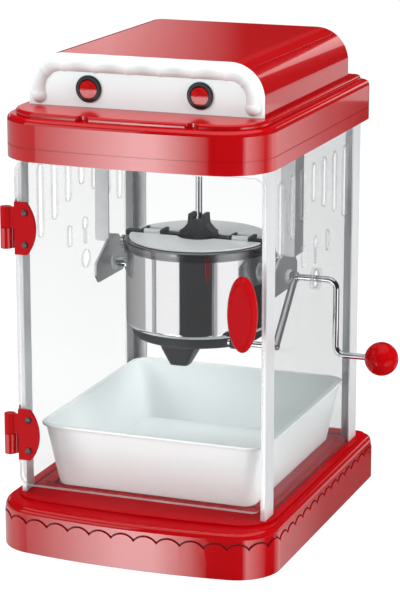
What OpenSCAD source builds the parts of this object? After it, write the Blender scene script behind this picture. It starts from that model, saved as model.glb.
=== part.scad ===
// Table-top popcorn maker: a glazed cabinet with a hinged door, a tilting
// kettle worked by a crank, a motor-driven stirrer and a catch tray.
// Millimetres, +Z up, front towards -Y. The origin is on the table, under the
// middle of the four corner posts.

/* [Cabinet] */
// Width over the corner posts
cab_w = 226.4; // [212:0.2:240]
// Depth over the corner posts
cab_d = 259; // [250:1:270]
// Height from the table to the top of the hood
total_h = 430; // [420:1:450]
// Width of the side leg of the angled corner posts
post_leg = 21; // [14:0.5:24]
// Width of the lip that each front post turns round the edge of its pane
front_lip = 4.5; // [4:0.1:8]
// Width of the leg of each rear post behind the rear panel
rear_lip = 14; // [8:0.5:18]
// Sheet thickness of the corner posts
post_t = 1.6; // [1:0.1:2.4]
// Thickness of the clear side and rear panels
pane_t = 2.5; // [2:0.1:4]

/* [Base] */
// Width of the base
base_w = 253; // [246:1:260]
// Distance from the origin to the middle of the bowed front
base_front = 174; // [170:1:180]
// Distance from the origin to the back
base_back = 152; // [146:1:156]
// Radius of the bowed front
base_bow_r = 656; // [500:1:900]
// Radius of the front corners
base_corner_r = 39.5; // [34:0.5:44]
// Radius of the rear corners
base_rear_r = 16; // [14:1:24]
// Height of the skirt
skirt_h = 40.4; // [38:0.2:41]
// Radius of the skirt's rounded shoulder
skirt_r = 5.4; // [4:0.2:6.4]
// Height of the deck that the cabinet stands on
deck_z = 42.2; // [41.6:0.2:46]
// Distance from the origin to the front edge of the deck
deck_front = 152; // [148:1:156]
// Wall of the moulded shells
shell_t = 3; // [2:0.1:3.6]
// Spacing of the scallops round the skirt
scallop_pitch = 20; // [16:0.5:26]
// Height of each scallop
scallop_h = 5.5; // [4:0.1:7]
// Depth of the scalloped relief
skirt_relief = 0.8; // [0.5:0.1:1.2]
// Width of the groove that follows the scallops
groove_w = 1.5; // [1:0.1:2]

/* [Top band] */
// Width of the band
band_w = 238.6; // [234:0.2:246]
// Distance from the origin to the middle of its bowed front
band_front = 171; // [168:1:176]
// Distance from the origin to its back
band_back = 145; // [140:1:150]
// Radius of its bowed front
band_bow_r = 900; // [700:10:1400]
// Radius of its front corners
band_corner_r = 45; // [40:1:50]
// Radius of its rear corners
band_rear_r = 13; // [12:1:20]
// Height of the band up to the hood
band_h = 40.5; // [36:0.5:44]
// Width of the tier that carries the hood
tier_w = 224; // [220:1:226]
// Distance from the origin to the middle of the tier's front
tier_front = 163.5; // [150:0.5:165]
// Height of the tier
tier_h = 4.5; // [3.5:0.1:7]

/* [Hood] */
// Height of the hood above the band
hood_rise = 44.5; // [42:0.5:47]
// Width of the hood
hood_w = 210; // [200:1:214]
// Depth of the hood shell
hood_d = 228; // [216:1:232]
// Radius of its upper corners
hood_r = 30; // [24:1:34]
// Wall of the hood
hood_t = 2.5; // [2:0.1:3.5]
// Thickness of the front panel
front_panel_t = 4; // [3:0.1:5]
// Diameter of the tube border on the front panel
border_d = 12.4; // [9:0.2:13]
// Distance of each switch from the middle
switch_x = 50; // [44:0.5:56]
// Height of the switches above the band
switch_rise = 15.7; // [14:0.1:18]
// Diameter of the switch bezel
bezel_d = 23; // [21:0.5:25]

/* [Door] */
// Width of the door panel
door_w = 224; // [216:1:228]
// Height of the lower edge of the door
door_z = 49.8; // [46:0.2:56]
// Gap between the door and the band over it
door_top_gap = 6.7; // [4:0.1:20]
// Thickness of the door panel
door_t = 5; // [4:0.5:6]
// Gap between the corner posts and the door
door_gap = 1.5; // [1:0.1:3]
// Height of the door handle's middle
handle_z = 227; // [180:1:260]
// Width of the handle
handle_w = 26; // [22:1:32]
// Height of the handle
handle_h = 65; // [56:1:74]
// Length of the stem behind the handle
handle_stem = 9; // [7:0.5:14]

/* [Hinges] */
// Height of the lower hinge's middle
hinge_low_z = 97; // [84:1:120]
// Distance of the upper hinge's middle below the band
hinge_drop = 64; // [50:1:90]
// Diameter of the barrel
barrel_d = 10; // [9:0.5:12]
// Height of the barrel
barrel_h = 36.5; // [30:0.5:42]
// Width of the door leaf
leaf_w = 19.5; // [18:0.5:24]
// Height of the door leaf
leaf_h = 46; // [42:1:54]
// Thickness of a leaf
leaf_t = 3; // [2.4:0.1:3.6]
// Diameter of the hinge pin
hinge_pin_d = 4; // [3:0.5:5]

/* [Kettle] */
// Outside diameter of the pot
kettle_d = 131; // [124:1:136]
// Height of the pot, from its underside to its rim
kettle_h = 79; // [74:0.5:84]
// Height of the rim above the axis that the kettle tips about
rim_rise = 28.5; // [27:0.5:32]
// Sheet thickness of the pot
pot_t = 1.2; // [0.8:0.1:2]
// Distance of the kettle behind the middle of the cabinet
kettle_y = 10; // [6:0.5:14]
// Distance of the axis that the kettle tips about below the band
pivot_drop = 123; // [119:0.5:127]
// Depth of the heater base under the pot
heater_h = 9; // [7:0.5:12]
// Diameter of the heater base
heater_d = 120; // [112:1:124]
// Diameter of the trunnions
trunnion_d = 9; // [8:0.5:11]
// Room between the kettle's wall and the lower plate of each hanger
kettle_room = 16.5; // [14:0.5:19]
// Sheet thickness of the hangers
hanger_t = 2; // [1.5:0.1:2.5]

/* [Crank] */
// Diameter of the crank rod
rod_d = 5.5; // [4.5:0.1:6]
// Distance of the crank's upright from the middle
crank_x = 129.6; // [126:0.2:138]
// Drop from the crank's axis to its handle
crank_drop = 67.5; // [55:0.5:80]
// Diameter of the ball
ball_d = 30; // [26:1:36]
// Distance of the ball from the middle
ball_x = 172; // [166:1:188]
// Reach of the tipping arm, ahead of the axis and below it
arm_reach = 51; // [48:0.5:52]

/* [Stirring] */
// Teeth on each gear
gear_teeth = 16; // [12:1:20]
// Gear module
gear_module = 1.25; // [1:0.05:1.4]
// Face width of the gears
gear_h = 6; // [4:0.5:8]
// Distance of the gears' underside below the band
gear_drop = 33; // [30:1:38]
// Diameter of the stirrer shaft
shaft_d = 6; // [5:0.5:7]
// Length of each stirrer blade from the axis
blade_reach = 55; // [40:1:58]

/* [Tray] */
// Width of the tray over its rim
tray_w = 212; // [198:1:214]
// Depth of the tray over its rim
tray_d = 238; // [222:1:239]
// Distance of the tray behind the middle of the cabinet
tray_y = 4; // [2:0.5:5]
// Height of the tray
tray_h = 58; // [46:1:66]
// Slope of its walls, from the rim in to the floor
tray_taper = 13; // [12:0.5:18]
// Wall of the tray
tray_t = 2; // [1.6:0.1:3]

/* [Hidden] */

red = [0.72, 0.02, 0.05];
steel = [0.75, 0.76, 0.78];
dark = [0.13, 0.13, 0.14];
clear = [0.86, 0.92, 0.94, 0.3];

round_fn = 96;
fine_fn = 36;
gap = 0.3;          // between pieces that only lie side by side
run = 0.05;         // radial clearance of a running fit
eps = 0.01;

half_cab_w = cab_w / 2;
half_cab_d = cab_d / 2;
post_sink = 1.7;    // posts and panes stand this deep in the deck's grooves
groove_side = 0.3;  // clearance each side of a pane in its groove

// heights that follow from the stack of base, cabinet, band and hood
band_z = total_h - hood_rise - band_h;
band_top = band_z + band_h;
door_h = band_z - door_top_gap - door_z;
hinge_high_z = band_z - hinge_drop;
switch_z = band_top + switch_rise;
pivot_z = band_z - pivot_drop;
kettle_top = pivot_z + rim_rise;
kettle_z = kettle_top - kettle_h;
gear_z = band_z - gear_drop;

// Outlines in plan: half width, front, back, radii of bow, front corners and
// rear corners. Taking a length off every entry insets the outline by it.
base_outline = [base_w / 2, base_front, base_back, base_bow_r,
    base_corner_r, base_rear_r];
deck_inset = 7.5;
deck_outline = [base_w / 2 - deck_inset, deck_front, base_back - deck_inset,
    1.4 * base_bow_r, base_corner_r - deck_inset, base_rear_r - deck_inset];
band_outline = [band_w / 2, band_front, band_back, band_bow_r,
    band_corner_r, band_rear_r];
tier_inset = (band_w - tier_w) / 2;
tier_outline = [tier_w / 2, tier_front, band_back - tier_inset, band_bow_r,
    band_corner_r - tier_inset, band_rear_r - 4];

ceiling_t = 2;
hood_h = total_h - band_top;
hood_y0 = -hood_d / 2;
panel_y = hood_y0 - front_panel_t;
border_inset = 9;

door_front = -half_cab_d - door_gap - door_t;
door_back = door_front + door_t;
door_x0 = -half_cab_w + 0.7;
hinge_x = -half_cab_w - barrel_d / 2 - 2;
hinge_y = door_front - 1;
hinge_seam = 0.4;   // gap between the two knuckles of a hinge

kettle_r = kettle_d / 2;
heater_z = kettle_z - heater_h;
rim_h = 8;
plate_x = kettle_r + kettle_room;
web_x = plate_x + 11;   // the straps hang outboard of the lower plates
knee_z = pivot_z + 21;  // height of the shelf that joins strap and plate
bush_wall = 1.5;
bush_flange = 1.2;

rim_t = 1.6;
bar_z = kettle_top + gap;   // underside of the crossbar
bar_t = 2;
bar_w = 8;
neck_d = shaft_d + 3.6; // bearing tube of the hub
hub_w = 32;
hub_h = 20;
hub_seat = 15;          // where the shaft's collar runs, above the crossbar
hinge_rod_d = 2.4;
bracket_x = [33, 51];   // brackets on the crossbar, each side of the hub
bracket_t = 2.4;
lid_hinge_y = 7;        // each lid's hinge rod from the kettle's centre
lid_axis_z = bar_z + 3.4;
lid_z = kettle_top + 0.5;
lid_t = 1.6;
lid_r = kettle_r - 3;

gear_space = gear_teeth * gear_module + 0.25;
motor_y = kettle_y + gear_space;
motor_shaft_d = 5;
stir_r = shaft_d / 2;

arm_x = plate_x + 9;    // plane of the tipping arm
crank_end = plate_x - 3;    // inner end of the crank's shaft
finger_x = 47;          // inner end of the tipping finger
lug_x = 50;             // eye on the heater base that the finger works in
lug_t = 4;

tray_z = deck_z + gap;
rocker_tilt = 8;
rocker_d = 15.4;
well_d = 16.6;
rocker_pin_d = 2;

// ---- outlines -------------------------------------------------------------

function inset(o, t) = [for (v = o) v - t];
function bow_y(o) = o[3] - o[1];
function corner_x(o) = o[0] - o[4];
// the corners stand proud of the bow by lap, so the two arcs cross cleanly
lap = 0.012;
function corner_y(o) = bow_y(o) - sqrt(pow(o[3] - o[4] + lap, 2) - pow(corner_x(o), 2));
function front_at(o, x) = bow_y(o) - sqrt(pow(o[3], 2) - pow(x, 2));
function bow_angle(o) = asin(corner_x(o) / (o[3] - o[4]));

// Plan with a bowed front, in true arcs
module bowed_plan(o) {
    wedge_y = -o[1] - 10;
    wedge_x = corner_x(o) + (corner_y(o) - wedge_y) * tan(bow_angle(o));
    intersection() {
        translate([0, bow_y(o)]) circle(r = o[3], $fn = 240);
        polygon([
            [-corner_x(o), corner_y(o)], [-wedge_x, wedge_y],
            [wedge_x, wedge_y], [corner_x(o), corner_y(o)]
        ]);
    }
    for (s = [-1, 1]) {
        translate([s * corner_x(o), corner_y(o)]) circle(r = o[4], $fn = round_fn);
        translate([s * (o[0] - o[5]), o[2] - o[5]]) circle(r = o[5], $fn = round_fn);
    }
    translate([-o[0], corner_y(o)]) square([2 * o[0], o[2] - o[5] - corner_y(o)]);
    translate([o[5] - o[0], corner_y(o)])
        square([2 * (o[0] - o[5]), o[2] - corner_y(o)]);
}

function arc(x, y, r, a0, a1, n) = [for (i = [0:n])
    let (a = a0 + (a1 - a0) * i / n) [x + r * cos(a), y + r * sin(a)]];
function mirrored(points) = [for (i = [len(points) - 1:-1:0])
    [-points[i][0], points[i][1]]];

// The same plan as a list of points, for hulls
function bowed_points(o) = let (
    a = bow_angle(o),
    half = concat(
        arc(0, bow_y(o), o[3], -90 + a / 8, -90 + a, 7),
        arc(corner_x(o), corner_y(o), o[4], -90 + a + (90 - a) / 8, 0, 7),
        arc(o[0] - o[5], o[2] - o[5], o[5], 0, 90, 8)
    )) concat(half, mirrored(half));

// Rounded top edge of a moulding, laid on its straight wall: o is the plan of
// the wall, z the top and e the radius of the edge
module rounded_cap(o, z, e) {
    steps = 5;
    slab = 0.1;
    hull() {
        translate([0, 0, z - e - 1]) linear_extrude(1) polygon(bowed_points(inset(o, 0.1)));
        for (i = [0:steps]) translate([0, 0, z - e * (1 - sin(90 * i / steps)) - slab])
            linear_extrude(slab)
                polygon(bowed_points(inset(o, 0.1 + e * (1 - cos(90 * i / steps)))));
    }
}

// Upright outline with a flat foot and rounded shoulders, middle at x = 0
module arch(w, h, r) {
    translate([-w / 2, 0]) square([w, h - r]);
    translate([-w / 2 + r, 0]) square([w - 2 * r, h]);
    intersection() {
        for (s = [-1, 1])
            translate([s * (w / 2 - r), h - r]) circle(r = r, $fn = round_fn);
        translate([-w / 2, 0]) square([w, h]);
    }
}

module rounded_rect(w, h, r) {
    square([w - 2 * r, h], center = true);
    square([w, h - 2 * r], center = true);
    for (x = [-1, 1], y = [-1, 1])
        translate([x * (w / 2 - r), y * (h / 2 - r)])
            circle(r = r, $fn = fine_fn);
}

// Slot along Y with round ends, from y0 to y1
module slot(width, y0, y1) {
    translate([-width / 2, y0 + width / 2]) square([width, y1 - y0 - width]);
    for (y = [y0 + width / 2, y1 - width / 2])
        translate([0, y]) circle(d = width, $fn = fine_fn);
}

// Turns a sketch (x across, y up) to face -Y, and pushes it back by t
module facing_front(y, t) {
    translate([0, y + t, 0]) rotate([90, 0, 0]) linear_extrude(t) children();
}

// Turns a sketch (x along Y, y up) to face +X, from x to x + t
module facing_side(x, t) {
    translate([x, 0, 0]) rotate([90, 0, 90]) linear_extrude(t) children();
}

module rod_x(x0, x1, d, y = 0, z = 0) {
    translate([x0, y, z]) rotate([0, 90, 0])
        cylinder(d = d, h = x1 - x0, $fn = fine_fn);
}

module rod_y(y0, y1, d, x = 0, z = 0) {
    translate([x, y0, z]) rotate([-90, 0, 0])
        cylinder(d = d, h = y1 - y0, $fn = fine_fn);
}

// Shallow dome standing on z = 0
module dome(d, h) {
    r = (pow(d / 2, 2) + pow(h, 2)) / (2 * h);
    rotate_extrude($fn = fine_fn) intersection() {
        translate([0, h - r]) circle(r = r, $fn = fine_fn);
        translate([0, 0]) square([d, h]);
    }
}

// Pan-head screw, head up: z = 0 is under the head
module screw(d, length, head_d, head_h) {
    translate([0, 0, -length]) cylinder(d = d, h = length, $fn = fine_fn);
    difference() {
        intersection() {
            cylinder(d = head_d, h = head_h, $fn = fine_fn);
            translate([0, 0, head_h - head_d])
                sphere(r = head_d, $fn = round_fn);
        }
        for (a = [0, 90]) rotate(a)
            translate([-head_d * 0.3, -0.4, head_h * 0.45])
                cube([head_d * 0.6, 0.8, head_h]);
    }
}

// ---- base -----------------------------------------------------------------

foot_inset = 30;
boss_inset = 34;
foot_d = 18;
floor_z = 3;        // underside of the bottom cover
cover_t = 2;
boss_d = 9;
base_screw_d = 3.5;
rail_w = 9;
rail_h = 2.6;
rail_l = 216;
rail_x = tray_w / 2 - tray_taper + rail_w / 2 + 1;
groove_deep = 1;    // depth of the scallops' groove below the wall
scallop_top = skirt_h - skirt_r - groove_w - 2.6;
relief_z = scallop_top - scallop_h + 0.4; // top of the plain part of the skirt

boss_points = [
    for (x = [-1, 1], y = [-1, 1]) [x * (half_cab_w - boss_inset), y * (half_cab_d - 14)]
];

foot_points = [
    for (x = [-1, 1]) each [
        [x * (base_w / 2 - foot_inset), base_back - foot_inset],
        [x * (base_w / 2 - foot_inset), -base_front + 24 + foot_inset]
    ]
];

// Disc of one scallop over a chord of length c, its axis pointing outwards
// along -Y; grow widens it to the far side of the groove
module scallop(c, grow) {
    r = (pow(c / 2, 2) + pow(scallop_h, 2)) / (2 * scallop_h);
    depth = 7;
    translate([0, depth, scallop_top - r]) rotate([90, 0, 0])
        cylinder(r = r + grow, h = depth + 1, $fn = round_fn);
}

// Scallops round an arc of radius r from angle a0 to a1
module scallop_arc(r, a0, a1, grow) {
    n = round((a1 - a0) * PI / 180 * r / scallop_pitch);
    step = (a1 - a0) / n;
    for (i = [0:n - 1]) rotate(a0 + (i + 0.5) * step + 90)
        translate([0, -r, 0]) scallop(2 * r * sin(step / 2), grow);
}

// Scallops along a straight run of length l towards +X, facing -Y
module scallop_run(l, grow) {
    n = round(l / scallop_pitch);
    step = l / n;
    for (i = [0:n - 1]) translate([(i + 0.5) * step, 0, 0]) scallop(step, grow);
}

module scallops(grow) {
    o = base_outline;
    a = bow_angle(o);
    rear_y = o[2] - o[5];
    translate([0, bow_y(o), 0]) scallop_arc(o[3], -90 - a, -90 + a, grow);
    for (s = [0, 1]) mirror([s, 0, 0]) {
        translate([corner_x(o), corner_y(o), 0]) scallop_arc(o[4], -90 + a, 0, grow);
        translate([o[0], corner_y(o), 0]) rotate(90)
            scallop_run(rear_y - corner_y(o), grow);
        translate([o[0] - o[5], rear_y, 0]) scallop_arc(o[5], 0, 90, grow);
    }
    translate([o[0] - o[5], o[2], 0]) rotate(180)
        scallop_run(2 * (o[0] - o[5]), grow);
}

// Wall of the skirt: plain below, scallops standing proud in their groove
module skirt(wall) {
    difference() {
        linear_extrude(skirt_h - skirt_r) bowed_plan(wall);
        difference() {
            scallops(groove_w);
            linear_extrude(skirt_h) bowed_plan(inset(wall, groove_deep));
        }
    }
    linear_extrude(relief_z) bowed_plan(base_outline);
    intersection() {
        scallops(0);
        linear_extrude(skirt_h) bowed_plan(base_outline);
    }
}

module base_shell() {
    wall = inset(base_outline, skirt_relief);
    color(red) difference() {
        union() {
            skirt(wall);
            rounded_cap(wall, skirt_h, skirt_r);
            linear_extrude(deck_z) bowed_plan(deck_outline);
            // rails that keep the tray central
            for (s = [-1, 1]) translate([s * rail_x, tray_y, deck_z - 1])
                linear_extrude(rail_h + 1) rounded_rect(rail_w, rail_l, 3);
        }
        difference() {
            translate([0, 0, -1]) linear_extrude(skirt_h - shell_t + 1)
                bowed_plan(inset(wall, shell_t));
            for (p = boss_points) translate([p[0], p[1], floor_z + cover_t])
                cylinder(d = boss_d, h = deck_z, $fn = fine_fn);
        }
        for (p = boss_points) translate([p[0], p[1], floor_z])
            cylinder(d = base_screw_d, h = 22, $fn = fine_fn);
        // grooves for the panes and the feet of the posts
        translate([0, 0, deck_z - post_sink]) linear_extrude(post_sink + 1) {
            for (s = [-1, 1])
                translate([s * (half_cab_w - post_t - pane_t / 2), 0])
                    square([pane_t + 2 * groove_side, cab_d - 2 * post_t + 0.6],
                        center = true);
            translate([0, half_cab_d - post_t - pane_t / 2])
                square([cab_w - 2 * post_t, pane_t + 2 * groove_side],
                    center = true);
            for (x = [0, 1], y = [0, 1]) mirror([x, 0]) mirror([0, y])
                post_section(y > 0 ? front_lip : rear_lip, 0.1);
        }
    }
}

module base_plate() {
    color(dark) difference() {
        translate([0, 0, floor_z]) linear_extrude(cover_t)
            bowed_plan(inset(base_outline, skirt_relief + shell_t + gap));
        for (p = boss_points) translate([p[0], p[1], 0])
            cylinder(d = base_screw_d + 1, h = 20, $fn = fine_fn);
        // rows of vent slots
        for (x = [-1, 1], i = [-3:3])
            translate([x * 48 + i * 9, 0, 0]) linear_extrude(10)
                slot(3.4, -34, 34);
    }
}

module base_screws() {
    color(steel) for (p = boss_points)
        translate([p[0], p[1], floor_z]) rotate([180, 0, 0])
            screw(base_screw_d - 0.1, 16, 7, 2.2);
}

module rubber_feet() {
    color(dark) for (p = foot_points) translate([p[0], p[1], 0])
        rotate_extrude($fn = 60) {
            square([foot_d / 2 - 1, floor_z]);
            translate([0, 1]) square([foot_d / 2, floor_z - 1]);
        }
}

// ---- frame and panes ------------------------------------------------------

// Section of the rear right post: two legs, outer faces on the cabinet's sides
module post_section(lip, grow = 0) {
    translate([half_cab_w - lip - grow, half_cab_d - post_t - grow])
        square([lip + 2 * grow, post_t + 2 * grow]);
    translate([half_cab_w - post_t - grow, half_cab_d - post_leg - grow])
        square([post_t + 2 * grow, post_leg + 2 * grow]);
}

module post(x, y) {
    foot = deck_z - post_sink;
    color([0.78, 0.79, 0.8]) mirror([x < 0 ? 1 : 0, 0, 0])
        mirror([0, y < 0 ? 1 : 0, 0])
            translate([0, 0, foot]) linear_extrude(band_z - foot)
                post_section(y < 0 ? front_lip : rear_lip);
}

module post_front_left() { post(-1, -1); }
module post_front_right() { post(1, -1); }
module post_rear_left() { post(-1, 1); }
module post_rear_right() { post(1, 1); }

vent_w = 11;
vent_pitch = 29.7;
vent_top = band_z - 17.5;
vent_low = band_z - 52.5;
vent_step = 10.2;           // each vent ends this much lower than the one inside it
vent_mid = 1.5;             // the middle vent lies a little behind the centre
crank_hole_d = 17;
drip_h = 24;

// Cut-outs of a side pane, drawn with x along Y and y up
module vents() {
    for (i = [-3:3]) {
        low = vent_low - abs(i) * vent_step;
        translate([vent_mid + i * vent_pitch, 0]) slot(vent_w, low, vent_top);
    }
    for (y = [-36, 33]) translate([kettle_y + y, 0])
        slot(8, pivot_z + 18, pivot_z + 38);
    // drip above the crank hole, wide at its top and narrow below
    translate([kettle_y - 1.5, 0]) {
        slot(4.6, pivot_z + 14, pivot_z + 14 + drip_h);
        slot(10, pivot_z + 27, pivot_z + 15 + drip_h);
    }
    translate([kettle_y, pivot_z]) circle(d = crank_hole_d, $fn = 60);
}

module side_pane(x0) {
    foot = deck_z - post_sink;
    y0 = -half_cab_d + post_t;
    y1 = half_cab_d - post_t - pane_t - gap;
    color(clear) facing_side(x0, pane_t) difference() {
        translate([y0, foot]) square([y1 - y0, band_z - foot]);
        vents();
    }
}

module side_panel_left() { side_pane(-half_cab_w + post_t); }
module side_panel_right() { side_pane(half_cab_w - post_t - pane_t); }

module rear_panel() {
    foot = deck_z - post_sink;
    w = cab_w - 2 * post_t;
    color(clear) translate([-w / 2, half_cab_d - post_t - pane_t, foot])
        cube([w, pane_t, band_z - foot]);
}

// ---- top band, ceiling and hood -------------------------------------------

band_r = 4.6;       // rounding of the band's shoulder
tier_r = 2.4;
bead_rise = 11;     // bead line above the band's lower edge
bead_h = 0.9;
notch_r = 7;
notch_points = [-37.5, 59];

// Moulded band: wall with a bead line, shoulder and the tier under the hood
module top_band() {
    wall_h = band_h - tier_h;
    color(red) difference() {
        union() {
            translate([0, 0, band_z])
                linear_extrude(wall_h - band_r) bowed_plan(band_outline);
            rounded_cap(band_outline, band_z + wall_h, band_r);
            translate([0, 0, band_z])
                linear_extrude(band_h - tier_r) bowed_plan(tier_outline);
            rounded_cap(tier_outline, band_top, tier_r);
        }
        translate([0, 0, band_z - 1]) linear_extrude(wall_h - shell_t + 1)
            bowed_plan(inset(band_outline, shell_t));
        translate([0, 0, band_z + wall_h - shell_t - 1])
            linear_extrude(tier_h + 1) bowed_plan(inset(tier_outline, shell_t + 1));
        // bead line round the wall
        translate([0, 0, band_z + bead_rise]) linear_extrude(bead_h) difference() {
            bowed_plan(inset(band_outline, -2));
            bowed_plan(inset(band_outline, 0.5));
        }
        // opening under the hood for the motor
        translate([0, 0, band_top - 10]) linear_extrude(20)
            rounded_rect(hood_w - 34, hood_d - 34, 12);
        // half-round notches in the tier's front edge
        for (x = notch_points)
            translate([x, front_at(tier_outline, x) - notch_r / 2, band_z + wall_h])
                cylinder(r = notch_r, h = 10, $fn = fine_fn);
        for (p = hood_screw_points) translate([p[0], p[1], band_top - 8])
            cylinder(d = 3.3, h = 20, $fn = fine_fn);
    }
}

lamp_x = -59;
lamp_y = -60.5;
lamp_hole_d = 30;
hanger_flange = 14;
hanger_holes = [for (s = [-1, 1], y = [-6, 18])
    [s * (web_x - hanger_flange / 2), kettle_y + y]];
gearbox_size = [58, 42, 17];
motor_d = 37;

module ceiling_plate() {
    color([0.9, 0.9, 0.9]) difference() {
        translate([0, 0, band_z])
            linear_extrude(ceiling_t) bowed_plan(inset(band_outline, shell_t + gap));
        translate([0, motor_y, band_z - 1])
            cylinder(d = motor_shaft_d + 3, h = 10, $fn = fine_fn);
        translate([lamp_x, lamp_y, band_z - 1])
            cylinder(d = lamp_hole_d, h = 10, $fn = fine_fn);
        for (p = hanger_holes) translate([p[0], p[1], band_z - 1])
            cylinder(d = 4.2, h = 10, $fn = fine_fn);
    }
}

hood_screw_points = [
    for (x = [-1, 1], y = [-1, 1]) [x * (hood_w / 2 - 10), y * (hood_d / 2 - 20)]
];

parting_x = 92;
parting_z = total_h - hood_r
    + sqrt(pow(hood_r, 2) - pow(parting_x - hood_w / 2 + hood_r, 2));

module hood() {
    inner_h = hood_h - hood_t;
    color(red) difference() {
        union() {
            difference() {
                facing_front(hood_y0, hood_d) translate([0, band_top])
                    arch(hood_w, hood_h, hood_r);
                facing_front(hood_y0 - 1, hood_d - hood_t + 1)
                    translate([0, band_top - eps])
                        arch(hood_w - 2 * hood_t, inner_h, hood_r - hood_t);
            }
            for (p = hood_screw_points) {
                translate([p[0], p[1], band_top]) cylinder(d = 8, h = 12, $fn = fine_fn);
                translate([p[0] > 0 ? p[0] : p[0] - 9, p[1] - 2, band_top])
                    cube([9, 4, 12]);
            }
        }
        for (p = hood_screw_points) translate([p[0], p[1], band_top - 1])
            cylinder(d = 2.9, h = 11, $fn = fine_fn);
        // parting lines along the roof
        for (s = [-1, 1])
            translate([s * parting_x - 0.4, hood_y0 + 6, parting_z - 0.8])
                cube([0.8, hood_d - 12, 20]);
        // vent slots in the back
        for (i = [-6:6]) translate([i * 9, 0, band_top])
            facing_front(hood_d / 2 - hood_t - 1, hood_t + 2) slot(3.6, 14, 32);
        // seat of the cord gland
        rod_y(hood_d / 2 - 6, hood_d / 2 + 1, gland_d, gland_x, gland_z);
    }
}

module hood_screws() {
    color(steel) for (p = hood_screw_points)
        translate([p[0], p[1], band_top - shell_t]) rotate([180, 0, 0])
            screw(2.8, 9, 6, 2);
}

gland_d = 12;
gland_x = 28 - hood_w / 2;
gland_z = band_top + 18;
gland_bore = 7;

module cord_gland() {
    y1 = hood_d / 2;
    color(dark) difference() {
        union() {
            rod_y(y1 - hood_t - 4, y1, gland_d - 0.1, gland_x, gland_z);
            rod_y(y1, y1 + 2.5, gland_d + 5, gland_x, gland_z);
            rod_y(y1 - hood_t - 4, y1 - hood_t, gland_d + 3, gland_x, gland_z);
        }
        rod_y(y1 - 20, y1 + 10, gland_bore, gland_x, gland_z);
    }
}

// Centre line of the tube border, as an arch of its own
border_w = hood_w - 2 * border_inset;
border_top = hood_h - border_inset;
border_r = hood_r - border_inset;
border_foot = 8;

module tube_border() {
    straight = border_top - border_r - border_foot;
    for (s = [0, 1]) mirror([s, 0, 0]) {
        translate([border_w / 2, 0, border_foot])
            cylinder(d = border_d, h = straight, $fn = fine_fn);
        translate([border_w / 2 - border_r, 0, border_top - border_r])
            rotate([90, 0, 0]) rotate_extrude(angle = 90, $fn = round_fn)
                translate([border_r, 0]) circle(d = border_d, $fn = fine_fn);
        translate([border_w / 2, 0, border_foot])
            sphere(d = border_d + 1.8, $fn = fine_fn);
        translate([border_w / 2 - border_r * (1 - sin(45)), 0,
            border_top - border_r * (1 - sin(45))])
            sphere(d = border_d + 1, $fn = fine_fn);
    }
    rod_x(-border_w / 2 + border_r, border_w / 2 - border_r, border_d, 0, border_top);
    for (i = [-2.5:2.5]) translate([i * 29, 0, border_top])
        sphere(d = border_d + 1, $fn = fine_fn);
}

module hood_front_panel() {
    color([0.96, 0.96, 0.96]) difference() {
        union() {
            facing_front(panel_y, front_panel_t) translate([0, band_top])
                arch(hood_w, hood_h, hood_r);
            intersection() {
                translate([0, panel_y + 2, band_top]) tube_border();
                facing_front(panel_y - 10, 12) translate([0, band_top])
                    arch(hood_w, hood_h, hood_r);
            }
        }
        for (s = [-1, 1]) rod_y(panel_y - 10, panel_y + 20,
            bezel_d - 2.8, s * switch_x, switch_z);
    }
}

module switch_bezel(x) {
    barrel = bezel_d - 3;
    depth = 16;
    color(dark) translate([x, panel_y, switch_z]) rotate([-90, 0, 0])
        difference() {
            union() {
                translate([0, 0, -2.2]) cylinder(d = bezel_d - 1.4, h = 2.2, $fn = 60);
                translate([0, 0, -1.4]) cylinder(d = bezel_d, h = 1.4, $fn = 60);
                cylinder(d = barrel, h = depth, $fn = 60);
            }
            translate([0, 0, -5]) cylinder(d = well_d, h = 5 + 7.5, $fn = 60);
            // bore for the rocker's pin
            translate([0, 0, 1.2]) rotate([0, 90, 0])
                cylinder(d = rocker_pin_d + 2 * run, h = barrel - 0.8,
                    center = true, $fn = fine_fn);
        }
}

module switch_bezel_left() { switch_bezel(-switch_x); }
module switch_bezel_right() { switch_bezel(switch_x); }

// Rocker in its off position, upper half pressed in
module switch_rocker(x) {
    color([0.8, 0.05, 0.05]) translate([x, panel_y + 1.2, switch_z])
        rotate([rocker_tilt, 0, 0]) {
            difference() {
                rod_y(-4, 2.6, rocker_d);
                // dished face: two flats that meet along the pin
                for (s = [-1, 1]) rotate([s * 7, 0, 0])
                    translate([-10, -10, s > 0 ? 0 : -12]) cube([20, 7, 12]);
            }
            rod_x(-well_d / 2 - 1.1, well_d / 2 + 1.1, rocker_pin_d);
        }
}

module switch_rocker_left() { switch_rocker(-switch_x); }
module switch_rocker_right() { switch_rocker(switch_x); }

// ---- motor and lamp -------------------------------------------------------

module gearbox() {
    z0 = band_z + ceiling_t;
    color(steel) difference() {
        union() {
            translate([0, motor_y + 8, z0]) linear_extrude(gearbox_size[2])
                rounded_rect(gearbox_size[0], gearbox_size[1], 4);
            for (s = [-1, 1]) translate([s * (gearbox_size[0] / 2 + 5), motor_y + 8, z0])
                cylinder(d = 12, h = 3, $fn = fine_fn);
            for (s = [-1, 1])
                translate([s * (gearbox_size[0] / 2 + 1) - 4, motor_y + 4, z0])
                    cube([8, 8, 3]);
        }
        translate([0, motor_y, z0 - 1])
            cylinder(d = motor_shaft_d + 2 * run, h = 12, $fn = fine_fn);
    }
}

module motor() {
    z0 = band_z + ceiling_t + gearbox_size[2];
    color([0.5, 0.5, 0.52]) translate([0, motor_y + 9, z0]) {
        cylinder(d = motor_d, h = 26, $fn = 60);
        translate([0, 0, 26]) cylinder(d = 12, h = 3, $fn = fine_fn);
        for (s = [-1, 1]) translate([s * 11, -2, 26]) cube([1.2, 4, 5]);
    }
}

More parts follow.
